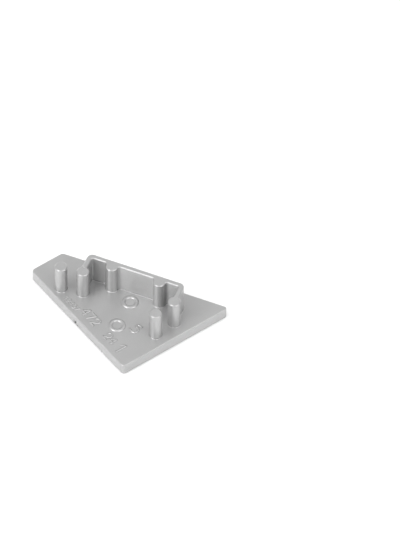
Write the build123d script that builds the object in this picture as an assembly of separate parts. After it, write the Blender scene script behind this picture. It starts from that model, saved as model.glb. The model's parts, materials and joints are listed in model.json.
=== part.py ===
from build123d import *
from math import atan2, cos, hypot, sin
import os

# Moulded end cap for a profile whose section is a right-angled trapezoid, in millimetres.
# The origin is on the outer face, below the wall's outer side and midway between its pins.
# X runs along the sloping edge, from the narrow end to the wide end.
# Y points out over the sloping edge, and y = 0 is the outer face of the locating wall.
# Z points up from the outer face, on which the cap rests, to the tips of the pins.

# Plate, with its two square corners at the ends of the long side
long_side = 37.05
narrow_end = 9.15
wide_end = 31.0
plate_thickness = 3.2
blunt_corner_radius = 1.0
sharp_corner_radius = 0.6
outer_edge_radius = 0.55
inner_edge_radius = 0.25

# Locating wall, a shallow U that is open towards the long side
wall_setback = 3.6  # from the sloping edge to the wall's outer face
wall_length = 24.75
wall_shift = 0.24  # of its middle from its pins' middle, towards the narrow end
wall_thickness = 1.2
wall_height = 7.9
wall_corner_radius = 1.3
return_depth = 5.85  # from the wall's outer face to the pins that end it

# Pins, all as high as the wall
pin_diameter = 3.0
pins_middle = 21.25  # of the wall's four pins, from the narrow end's corner along X
wall_pin_spacing = 12.2
wall_pin_cover = 0.18  # wall left behind the two pins that grow out of it
narrow_pin_from_return = 5.33  # along X, beyond the pin that ends the narrow return
narrow_pin_from_side = 2.55  # from the long side
wide_pin_from_end = 3.5
wide_pin_from_tip = 18.9  # from the plate's pointed corner, along the wide end

# Lead-in at the tips of the wall and pins, and blends where they meet and at their feet
tip_chamfer = 0.2
crease_radius = 0.5
root_radius = 0.2

# Raised ring marks on the inner face, in line across the plate
ring_count = 2
ring_diameter = 3.15
ring_bead_width = 1.0
ring_bead_height = 0.25
first_ring_from_wall = 4.1
ring_spacing = 7.8
ring_shift = 0.36  # from the middle of the wall's pins, towards the narrow end

# Dimple in the tip of the narrow return, and the pit of the gate in the long side
dimple_diameter = 0.6
dimple_depth = 0.15
dimple_from_pin = 1.15
gate_from_corner = 17.7
gate_height = 0.95
gate_diameter = 0.65
gate_floor_diameter = 0.4
gate_depth = 0.3

pin_radius = pin_diameter / 2
slope = atan2(wide_end - narrow_end, long_side)
sloping_side = hypot(long_side, wide_end - narrow_end)
down_the_ends = Vector(-sin(slope), -cos(slope))
down_the_long_side = Vector(cos(slope), -sin(slope))

narrow_tip = Vector(-pins_middle, wall_setback)
wide_tip = narrow_tip + Vector(sloping_side, 0)
narrow_square = narrow_tip + down_the_ends * narrow_end
wide_square = wide_tip + down_the_ends * wide_end

return_middle = (wall_length - wall_thickness) / 2
wall_pin_inset = pin_radius + wall_pin_cover
return_pins = [Vector(-return_middle, -return_depth), Vector(return_middle, -return_depth)]
wall_pins = [
    Vector(-wall_pin_spacing / 2, -wall_pin_inset),
    Vector(wall_pin_spacing / 2, -wall_pin_inset),
]
narrow_pin_x = -return_middle - narrow_pin_from_return
beside_long_side = narrow_square - down_the_ends * narrow_pin_from_side
narrow_pin = beside_long_side + down_the_long_side * (
    (narrow_pin_x - beside_long_side.X) / down_the_long_side.X
)
wide_pin = (
    wide_tip
    + down_the_ends * wide_pin_from_tip
    - down_the_long_side * wide_pin_from_end
)


def corner_at(outline, place):
    """The corner of an outline that lies nearest to a place."""
    return outline.vertices().sort_by_distance(place)[0]


def plate():
    """The cover plate, with its corners, outer edge and inner edge rounded."""
    outline = Polygon(narrow_tip, narrow_square, wide_square, wide_tip, align=None)
    outline = fillet(corner_at(outline, wide_tip), sharp_corner_radius)
    blunt_places = [narrow_tip, narrow_square, wide_square]
    blunt_corners = [corner_at(outline, place) for place in blunt_places]
    body = extrude(fillet(blunt_corners, blunt_corner_radius), plate_thickness)
    body = fillet(body.faces().sort_by(Axis.Z)[0].edges(), outer_edge_radius)
    return fillet(body.faces().sort_by(Axis.Z)[-1].edges(), inner_edge_radius)


def wall_plan():
    """Plan of the U-shaped wall: a block with rounded far corners, less its pocket."""
    from_far_face = (Align.CENTER, Align.MAX)
    block = Rectangle(wall_length, return_depth, align=from_far_face)
    block = fillet(block.vertices().group_by(Axis.Y)[-1], wall_corner_radius)
    pocket = Rectangle(wall_length - 2 * wall_thickness, return_depth, align=from_far_face)
    return Pos(-wall_shift, 0) * (block - Pos(0, -wall_thickness) * pocket)


def standing_shapes():
    """The wall and all six pins, blended in plan where they meet, with chamfered tips."""
    plan = wall_plan()
    for place in return_pins + wall_pins + [narrow_pin, wide_pin]:
        plan += Pos(place) * Circle(pin_radius)
    plan = offset(offset(plan, crease_radius), -crease_radius)
    body = extrude(Pos(0, 0, plate_thickness) * plan, wall_height)
    return chamfer(body.faces().group_by(Axis.Z)[-1].edges(), tip_chamfer)


def with_rounded_feet(body):
    """Blends whatever stands on the inner face into it."""
    inner_face = body.faces().filter_by(Axis.Z).group_by(Axis.Z)[1][0]
    feet = [edge for wire in inner_face.inner_wires() for edge in wire.edges()]
    return fillet(feet, root_radius)


def ring_mark(place):
    """A round bead that stands out of the inner face, as part of a torus."""
    half_width = ring_bead_width / 2
    bead_radius = (half_width**2 + ring_bead_height**2) / (2 * ring_bead_height)
    level = plate_thickness + ring_bead_height - bead_radius
    return Pos(place.X, place.Y, level) * Torus(ring_diameter / 2, bead_radius)


def dimple():
    """A ball that cuts the round dimple into the plane z = 0."""
    ball_radius = ((dimple_diameter / 2) ** 2 + dimple_depth**2) / (2 * dimple_depth)
    return Pos(0, 0, ball_radius - dimple_depth) * Sphere(ball_radius)


def gate_pit():
    """A tapered round pit that goes down from the plane z = 0."""
    upright_below = (Align.CENTER, Align.CENTER, Align.MAX)
    return Cone(gate_floor_diameter / 2, gate_diameter / 2, gate_depth, align=upright_below)


def build_cap():
    """The whole moulding in one piece."""
    cap = with_rounded_feet(plate() + standing_shapes())
    for number in range(ring_count):
        cap += ring_mark(Vector(-ring_shift, -first_ring_from_wall - number * ring_spacing))
    dimple_y = dimple_from_pin - return_depth
    dimple_place = Vector(-wall_shift - return_middle, dimple_y, plate_thickness + wall_height)
    cap -= Pos(dimple_place) * dimple()
    gate_place = narrow_square + down_the_long_side * gate_from_corner + Vector(0, 0, gate_height)
    gate_plane = Plane(gate_place, x_dir=down_the_long_side, z_dir=down_the_ends)
    return cap - gate_plane * gate_pit()


end_cap = build_cap()
end_cap.label = "end_cap"
os.makedirs("parts", exist_ok=True)
export_step(end_cap, "parts/end_cap.step")
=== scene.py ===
import json
import math
import random

import bpy
from mathutils import Matrix, Vector


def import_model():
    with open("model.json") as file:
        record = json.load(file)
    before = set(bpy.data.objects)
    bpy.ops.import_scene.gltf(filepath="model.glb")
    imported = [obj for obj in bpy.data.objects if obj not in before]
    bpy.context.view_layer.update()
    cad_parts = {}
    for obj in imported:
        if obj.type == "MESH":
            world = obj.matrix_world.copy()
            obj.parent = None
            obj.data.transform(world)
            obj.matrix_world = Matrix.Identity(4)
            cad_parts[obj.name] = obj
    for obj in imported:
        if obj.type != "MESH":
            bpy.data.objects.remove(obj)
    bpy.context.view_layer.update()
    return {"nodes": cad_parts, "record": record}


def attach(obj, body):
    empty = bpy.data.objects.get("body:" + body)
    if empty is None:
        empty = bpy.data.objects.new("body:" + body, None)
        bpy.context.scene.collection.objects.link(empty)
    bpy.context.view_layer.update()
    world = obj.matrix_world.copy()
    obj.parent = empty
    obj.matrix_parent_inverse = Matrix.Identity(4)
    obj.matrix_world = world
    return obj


# Looks for the moulded end cap, in metres. The cap lies on a white table, inner side up.

MM = 0.001

# Camera, as the photograph was taken: far away through a long lens
VIEW_AZIMUTH = 23.0
VIEW_ELEVATION = 49.57
VIEW_ROLL = 0.27
VIEW_AIM = Vector((9.39, 15.14, 0.0)) * MM
VIEW_DISTANCE = 2.852
SENSOR_SIZE = 36.0
FOCAL_LENGTH_IN_PIXELS = 12000.0
IMAGE_HEIGHT_IN_PIXELS = 533
CLIP_START = 0.1
CLIP_END = 20.0

# Studio light: a white room with soft round panels. Each panel has its azimuth and elevation
# in degrees and its brightness. The sheen panel is where the flat inner face mirrors it.
ROOM_LIGHT = 0.6
PANEL_RADIUS = 17.5  # in degrees
PANEL_CORE = 0.35  # of its radius, beyond which a panel fades
PANELS = {
    "low_left": (-30.0, 9.0, 3.5),
    "low_front": (0.0, 9.0, 5.5),
    "left": (-60.0, 45.0, 1.5),
    "key": (-30.0, 45.0, 5.5),
    "right_front": (60.0, 45.0, 2.5),
    "right": (90.0, 45.0, 2.5),
    "back": (150.0, 45.0, 2.0),
    "sheen": (VIEW_AZIMUTH + 180.0, VIEW_ELEVATION, 0.3),
    "high_left": (-60.0, 70.0, 3.0),
    "high_right": (60.0, 70.0, 2.5),
}

# Table, a hair below the cap so that the two faces don't mix
TABLE_HALF_WIDTH = 3.0
TABLE_DROP = 0.02 * MM
TABLE_SHADE = 0.9

# Silver plastic: the sizes of its noises, and what they change
NOISE_RANGE = (0.3, 0.7)  # where nearly all values of a noise lie
MOTTLE_SIZE = 6.0 * MM
MOTTLE_SHADES = (0.394, 0.418)
FLAKE_SIZE = 0.2 * MM
FLAKE_SHADES = (-0.008, 0.008)  # added to the mottle's
SMEAR_SIZE = 1.4 * MM
INNER_ROUGHNESS = (0.285, 0.335)
OUTER_ROUGHNESS = 0.6
OUTER_SIDE_HEIGHT = 0.05 * MM  # up to which the outer face's roughness and grain reach
GRAIN_SIZE = 0.3 * MM
FINE_GRAIN_SIZE = 0.12 * MM
FINE_GRAIN_SHARE = 0.06  # of the outer face's grain, all over the cap
GRAIN_DEPTH = 0.02 * MM

# Painted shade in the crease at the wall's foot, as a share of the plastic's own shade, and how
# much of it lies at the feet of the outer pins. Heights are above the inner face.
PAINTED_CREASE_SHADE = 0.62
PIN_FOOT_SHADE_SHARE = 0.5
CREASE_SHADE_START = (0.0, 0.05 * MM)
CREASE_SHADE_END = (0.2 * MM, 0.3 * MM)
WALL_FOOT = (-2.1 * MM, -1.9 * MM)  # along Y, where the wall's own painted shade begins
OUTER_PINS = (7.7 * MM, 7.9 * MM)  # either way along X, where the painted shade at the outer pins' feet begins

# Painted shade at the gate: a dark, rough grey that stands in for the shade in its pit and in the
# notch below it
PIT_SHADE_GRAIN_SIZE = 0.1 * MM
PIT_SHADE_TONES = (0.02, 0.06)

# The plate's long side, from its corner at the narrow end
LONG_SIDE_TURN = math.radians(-30.53)
LONG_SIDE_START = Vector((-25.9, -4.28)) * MM

# Raised numbers on the inner face, which read along the long side. Each has its digits, its
# place along that side and in from it, and its height, in millimetres.
NUMBERS = {
    "small_number": ("12457", 14.2, 1.7, 1.2),
    "part_number": ("472", 20.4, 2.9, 2.2),
    "tool_number": ("24", 28.5, 2.7, 2.0),
    "cavity_number": ("5", 29.6, 9.4, 2.6),
    "side_number": ("1", 32.5, 2.9, 3.0),
}
DIGIT_PITCH = 0.9  # of a digit's height
STROKE_RADIUS = 0.3 * MM
STROKE_SHARE = 0.16  # at most, of a digit's height
STROKE_SINK = 0.25  # of a stroke's radius, from the inner face down to its middle
STROKE_LIFT = 1.0 * MM  # in the number's own coordinates, clear of the outer face's grain
DIGIT_STROKES = {
    "1": [(0.1, 0.7), (0.4, 1.0), (0.4, 1.0), (0.4, 0.0)],
    "2": [(0.0, 0.7), (0.0, 1.0), (0.6, 1.0), (0.7, 0.6), (0.0, 0.0), (0.0, 0.0), (0.65, 0.0)],
    "4": [(0.5, 0.0), (0.5, 1.0), (0.5, 1.0), (0.0, 0.35), (0.0, 0.35), (0.7, 0.35)],
    "5": [(0.6, 1.0), (0.1, 1.0), (0.1, 0.6), (0.7, 0.7), (0.7, 0.0), (0.0, 0.0), (0.0, 0.1)],
    "7": [(0.0, 1.0), (0.65, 1.0), (0.65, 1.0), (0.2, 0.0)],
}

# Stumps where the gate was: a dark plug of painted shade in the pit in the long side, another in
# a notch below it, and a pale plastic nub beside the pit. Each stump has its place along the
# side, its height, its radius and its relief.
GATE_DEPTH = 0.3 * MM
PIT_SHADE_ALONG = 18.05 * MM
PIT_SHADE_HEIGHT = 1.25 * MM
PIT_SHADE_RADIUS = 0.4 * MM
PIT_SHADE_RELIEF = 0.14 * MM
NOTCH_SHADE_ALONG = PIT_SHADE_ALONG + 0.6 * MM
NOTCH_SHADE_HEIGHT = PIT_SHADE_HEIGHT - 0.53 * MM
NOTCH_SHADE_RADIUS = 0.25 * MM
NOTCH_SHADE_RELIEF = 0.1 * MM
NUB_ALONG = PIT_SHADE_ALONG - 0.62 * MM
NUB_HEIGHT = PIT_SHADE_HEIGHT + 0.17 * MM
NUB_RADIUS = 0.25 * MM
NUB_RELIEF = 0.28 * MM
SHADE_PLUG_TAPER = 0.3
NUB_TAPER = 0.6  # more pointed
LEAST_SHARE = 0.85  # of the even shape that is left where it is torn most


def new_tree(name):
    """A new material and its emptied node tree."""
    material = bpy.data.materials.new(name)
    material.use_nodes = True
    material.node_tree.nodes.clear()
    return material, material.node_tree


def add_node(tree, kind, inputs=None, **settings):
    """A new node with its settings and with its inputs set or linked."""
    node = tree.nodes.new(kind)
    for key, value in settings.items():
        setattr(node, key, value)
    for key, value in (inputs or {}).items():
        if isinstance(value, bpy.types.NodeSocket):
            tree.links.new(value, node.inputs[key])
        else:
            node.inputs[key].default_value = value
    return node


def calc(tree, operation, first, second=0.0):
    """The output of a math node."""
    return add_node(tree, "ShaderNodeMath", {0: first, 1: second}, operation=operation).outputs[0]


def ramp_between(tree, value, low, high, result_low=0.0, result_high=1.0):
    """Maps a value smoothly from one range to another."""
    node = add_node(
        tree,
        "ShaderNodeMapRange",
        {
            "Value": value,
            "From Min": low,
            "From Max": high,
            "To Min": result_low,
            "To Max": result_high,
        },
        interpolation_type="SMOOTHSTEP",
    )
    return node.outputs["Result"]


def noise(tree, place, size, detail):
    """A noise value whose grain has the given size in metres."""
    node = add_node(
        tree,
        "ShaderNodeTexNoise",
        {"Vector": place, "Scale": 1.0 / size, "Detail": detail, "Roughness": 0.5},
    )
    return node.outputs["Fac"]


def spread(tree, value, results):
    """Spreads a noise value over a range of results."""
    return ramp_between(tree, value, *NOISE_RANGE, *results)


def grey(tree, shade):
    """A grey colour of the given shade."""
    channels = {"Red": shade, "Green": shade, "Blue": shade}
    return add_node(tree, "ShaderNodeCombineColor", channels).outputs[0]


def direction_from(azimuth, elevation):
    """The direction from the cap to a camera or light at these angles in degrees."""
    azimuth = math.radians(azimuth)
    elevation = math.radians(elevation)
    return Vector(
        (
            math.sin(azimuth) * math.cos(elevation),
            -math.cos(azimuth) * math.cos(elevation),
            math.sin(elevation),
        )
    )


def painted_crease_shade(tree, place, inner_face):
    """Where painted shade darkens the crease at the wall's foot, and more weakly the feet of the
    outer pins.
    """
    height = calc(tree, "SUBTRACT", place.outputs["Z"], inner_face)
    above_face = ramp_between(tree, height, *CREASE_SHADE_START)
    below_crease = ramp_between(tree, height, *CREASE_SHADE_END, 1.0, 0.0)
    beside_wall = ramp_between(tree, place.outputs["Y"], *WALL_FOOT)
    from_middle = calc(tree, "ABSOLUTE", place.outputs["X"])
    by_outer_pins = ramp_between(tree, from_middle, *OUTER_PINS, 0.0, PIN_FOOT_SHADE_SHARE)
    amount = calc(tree, "MAXIMUM", beside_wall, by_outer_pins)
    return calc(tree, "MULTIPLY", calc(tree, "MULTIPLY", above_face, below_crease), amount)


def plastic_shade(tree, place, crease_shade):
    """The plastic's mottled and flaked tone, darkened by the painted shade in the creases."""
    mottle = spread(tree, noise(tree, place, MOTTLE_SIZE, 3.0), MOTTLE_SHADES)
    flake = spread(tree, noise(tree, place, FLAKE_SIZE, 1.0), FLAKE_SHADES)
    clean = calc(tree, "ADD", mottle, flake)
    return calc(tree, "MULTIPLY", clean, ramp_between(tree, crease_shade, 0.0, 1.0, 1.0, PAINTED_CREASE_SHADE))


def plastic_roughness(tree, place, outer_side):
    """The plastic's roughness: smeared inside, and higher on the outer face."""
    smear = spread(tree, noise(tree, place, SMEAR_SIZE, 4.0), INNER_ROUGHNESS)
    return calc(tree, "MAXIMUM", smear, calc(tree, "MULTIPLY", outer_side, OUTER_ROUGHNESS))


def plastic_grain(tree, place, outer_side):
    """The plastic's relief: barely grained inside, and eroded on the outer face."""
    fine = calc(tree, "MULTIPLY", noise(tree, place, FINE_GRAIN_SIZE, 2.0), FINE_GRAIN_SHARE)
    grain = calc(tree, "MULTIPLY", noise(tree, place, GRAIN_SIZE, 3.0), outer_side)
    relief = {"Strength": 0.5, "Distance": GRAIN_DEPTH, "Height": calc(tree, "ADD", fine, grain)}
    return add_node(tree, "ShaderNodeBump", relief).outputs[0]


def plastic_material(inner_face):
    """Silver plastic with fine metal flake, smooth inside and grained on the outer face."""
    material, tree = new_tree("flaked_silver_plastic")
    place = add_node(tree, "ShaderNodeTexCoord").outputs["Object"]
    split = add_node(tree, "ShaderNodeSeparateXYZ", {0: place})
    outer_side = ramp_between(tree, split.outputs["Z"], 0.0, OUTER_SIDE_HEIGHT, 1.0, 0.0)
    # painted shade: darker in the crease at the wall's foot and at the outer pins' feet
    crease_shade = painted_crease_shade(tree, split, inner_face)
    shader = add_node(
        tree,
        "ShaderNodeBsdfPrincipled",
        {
            "Base Color": grey(tree, plastic_shade(tree, place, crease_shade)),
            "Metallic": 0.5,
            "Roughness": plastic_roughness(tree, place, outer_side),
            "IOR": 1.5,
            "Normal": plastic_grain(tree, place, outer_side),
        },
    )
    add_node(tree, "ShaderNodeOutputMaterial", {"Surface": shader.outputs[0]})
    return material


def pit_shade_material():
    """Painted shade: a dark, rough grey at the gate that stands in for the shade in its pit and
    in the notch below it.
    """
    material, tree = new_tree("painted_pit_shade")
    place = add_node(tree, "ShaderNodeTexCoord").outputs["Object"]
    shade = spread(tree, noise(tree, place, PIT_SHADE_GRAIN_SIZE, 3.0), PIT_SHADE_TONES)
    shader = add_node(
        tree,
        "ShaderNodeBsdfPrincipled",
        {"Base Color": grey(tree, shade), "Roughness": 0.7, "IOR": 1.5},
    )
    add_node(tree, "ShaderNodeOutputMaterial", {"Surface": shader.outputs[0]})
    return material


def floor_material():
    """Plain white table."""
    material, tree = new_tree("white_table")
    white = (TABLE_SHADE, TABLE_SHADE, TABLE_SHADE, 1.0)
    shader = add_node(
        tree,
        "ShaderNodeBsdfPrincipled",
        {"Base Color": white, "Roughness": 0.8, "Specular IOR Level": 0.2},
    )
    add_node(tree, "ShaderNodeOutputMaterial", {"Surface": shader.outputs[0]})
    return material


def on_long_side(along, inward, height):
    """A place on the cap, from the long side's corner at the narrow end."""
    turn = Matrix.Rotation(LONG_SIDE_TURN, 2)
    flat = LONG_SIDE_START + turn @ Vector((along, inward))
    return Vector((flat.x, flat.y, height))


def add_to_cap(piece, material):
    """Gives a piece its material and fixes it to the cap."""
    piece.data.materials.append(material)
    bpy.context.scene.collection.objects.link(piece)
    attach(piece, "root")


def add_number(name, digits, along, inward, height, level, plastic):
    """A number in raised round strokes on the inner face, centred on its place."""
    curve = bpy.data.curves.new(name, "CURVE")
    curve.dimensions = "3D"
    radius = min(STROKE_RADIUS, STROKE_SHARE * height)
    curve.bevel_depth = radius
    curve.bevel_resolution = 3
    curve.resolution_u = 6
    curve.use_fill_caps = True
    for number, digit in enumerate(digits):
        start = (number - len(digits) / 2) * DIGIT_PITCH
        places = DIGIT_STROKES[digit]
        stroke = curve.splines.new("NURBS")
        stroke.points.add(len(places) - 1)
        for point, (right, up) in zip(stroke.points, places):
            point.co = ((start + right) * height, (up - 0.5) * height, STROKE_LIFT, 1.0)
        stroke.order_u = 3
        stroke.use_endpoint_u = True
    piece = bpy.data.objects.new(name, curve)
    middle = level - STROKE_SINK * radius
    piece.location = on_long_side(along, inward, middle - STROKE_LIFT)
    piece.rotation_euler.z = LONG_SIDE_TURN
    add_to_cap(piece, plastic)


def add_numbers(level, plastic):
    """Plain numbers where such a cap carries its moulded marks."""
    for name, (digits, along, inward, height) in NUMBERS.items():
        add_number(name, digits, along * MM, inward * MM, height * MM, level, plastic)


def add_stump(name, along, height, radius, relief, taper, material):
    """An uneven stump of plastic, closed at both ends, that stands out of the long side."""
    around = 18
    rings = 6
    length = GATE_DEPTH + relief
    points = [(0.0, 0.0, 0.0), (0.0, 0.0, length)]
    base = len(points)
    for ring in range(rings):
        share = ring / rings
        for step in range(around):
            angle = 2 * math.pi * step / around
            reach = radius * (1 - share**3) ** taper * random.uniform(LEAST_SHARE, 1.0)
            rise = length * share * random.uniform(LEAST_SHARE, 1.0)
            points.append((reach * math.cos(angle), reach * math.sin(angle), rise))
    faces = []
    for step in range(around):
        beside = (step + 1) % around
        faces.append((0, base + beside, base + step))
        for ring in range(rings - 1):
            first = base + ring * around + step
            second = base + ring * around + beside
            faces.append((first, second, second + around, first + around))
        last_ring = base + (rings - 1) * around
        faces.append((last_ring + step, last_ring + beside, 1))
    mesh = bpy.data.meshes.new(name)
    mesh.from_pydata(points, [], faces)
    stump = bpy.data.objects.new(name, mesh)
    stump.location = on_long_side(along, GATE_DEPTH, height)
    outward = Matrix.Rotation(math.radians(90), 3, "X")
    stump.rotation_euler = (Matrix.Rotation(LONG_SIDE_TURN, 3, "Z") @ outward).to_euler()
    add_to_cap(stump, material)


def add_gate_mark(plastic):
    """What is left of the gate: dark plugs of painted shade in and below its pit, and a pale
    plastic nub.
    """
    random.seed(7)
    painted_shade = pit_shade_material()
    pit_shade = (PIT_SHADE_ALONG, PIT_SHADE_HEIGHT, PIT_SHADE_RADIUS, PIT_SHADE_RELIEF, SHADE_PLUG_TAPER)
    notch_shade = (NOTCH_SHADE_ALONG, NOTCH_SHADE_HEIGHT, NOTCH_SHADE_RADIUS, NOTCH_SHADE_RELIEF, SHADE_PLUG_TAPER)
    nub = (NUB_ALONG, NUB_HEIGHT, NUB_RADIUS, NUB_RELIEF, NUB_TAPER)
    # the first two stumps are dark plugs of painted shade, in the pit and in the notch below it
    add_stump("gate_pit_shade", *pit_shade, painted_shade)
    add_stump("gate_notch_shade", *notch_shade, painted_shade)
    add_stump("gate_nub", *nub, plastic)


def add_floor():
    """The table that the cap lies on."""
    half = TABLE_HALF_WIDTH
    mesh = bpy.data.meshes.new("table")
    corners = [(-half, -half, 0.0), (half, -half, 0.0), (half, half, 0.0), (-half, half, 0.0)]
    mesh.from_pydata(corners, [], [(0, 1, 2, 3)])
    mesh.materials.append(floor_material())
    floor = bpy.data.objects.new("table", mesh)
    floor.location.z = -TABLE_DROP
    bpy.context.scene.collection.objects.link(floor)


def add_camera():
    """The camera at the photograph's viewing angle."""
    back = direction_from(VIEW_AZIMUTH, VIEW_ELEVATION)
    data = bpy.data.cameras.new("camera")
    data.sensor_width = SENSOR_SIZE
    data.lens = FOCAL_LENGTH_IN_PIXELS * SENSOR_SIZE / IMAGE_HEIGHT_IN_PIXELS
    data.clip_start = CLIP_START
    data.clip_end = CLIP_END
    camera = bpy.data.objects.new("camera", data)
    camera.rotation_mode = "QUATERNION"
    turn = (-back).to_track_quat("-Z", "Y")
    roll = Matrix.Rotation(math.radians(VIEW_ROLL), 3, "Z").to_quaternion()
    camera.rotation_quaternion = turn @ roll
    camera.location = VIEW_AIM + back * VIEW_DISTANCE
    bpy.context.scene.collection.objects.link(camera)
    bpy.context.scene.camera = camera


def panel_light(tree, direction, azimuth, elevation, brightness):
    """What one soft round panel adds to the room's light in a direction."""
    closeness = add_node(
        tree,
        "ShaderNodeVectorMath",
        {0: direction, 1: direction_from(azimuth, elevation)},
        operation="DOT_PRODUCT",
    )
    edge = math.cos(math.radians(PANEL_RADIUS))
    core = math.cos(math.radians(PANEL_RADIUS * PANEL_CORE))
    return ramp_between(tree, closeness.outputs["Value"], edge, core, 0.0, brightness)


def add_lights():
    """Soft studio light: a white room with large bright panels around and above the table."""
    world = bpy.data.worlds.new("studio")
    bpy.context.scene.world = world
    world.use_nodes = True
    tree = world.node_tree
    direction = add_node(tree, "ShaderNodeTexCoord").outputs["Generated"]
    light = ROOM_LIGHT
    for panel in PANELS.values():
        light = calc(tree, "ADD", panel_light(tree, direction, *panel), light)
    tree.links.new(light, tree.nodes["Background"].inputs["Strength"])
    tree.nodes["Background"].inputs["Color"].default_value = (1.0, 1.0, 1.0, 1.0)


def set_picture_look():
    """Plain colour, so that the white table stays white."""
    bpy.context.scene.view_settings.view_transform = "Standard"
    bpy.context.scene.view_settings.look = "None"


def main():
    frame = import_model()
    mounts = {mount["name"]: mount for mount in frame["record"]["mounts"]}
    inner_face = mounts["profile_seat"]["pos_m"][2]
    plastic = plastic_material(inner_face)
    cap = frame["nodes"]["end_cap"]
    cap.data.materials.clear()
    cap.data.materials.append(plastic)
    add_numbers(inner_face, plastic)
    add_gate_mark(plastic)
    add_floor()
    add_camera()
    add_lights()
    set_picture_look()


main()
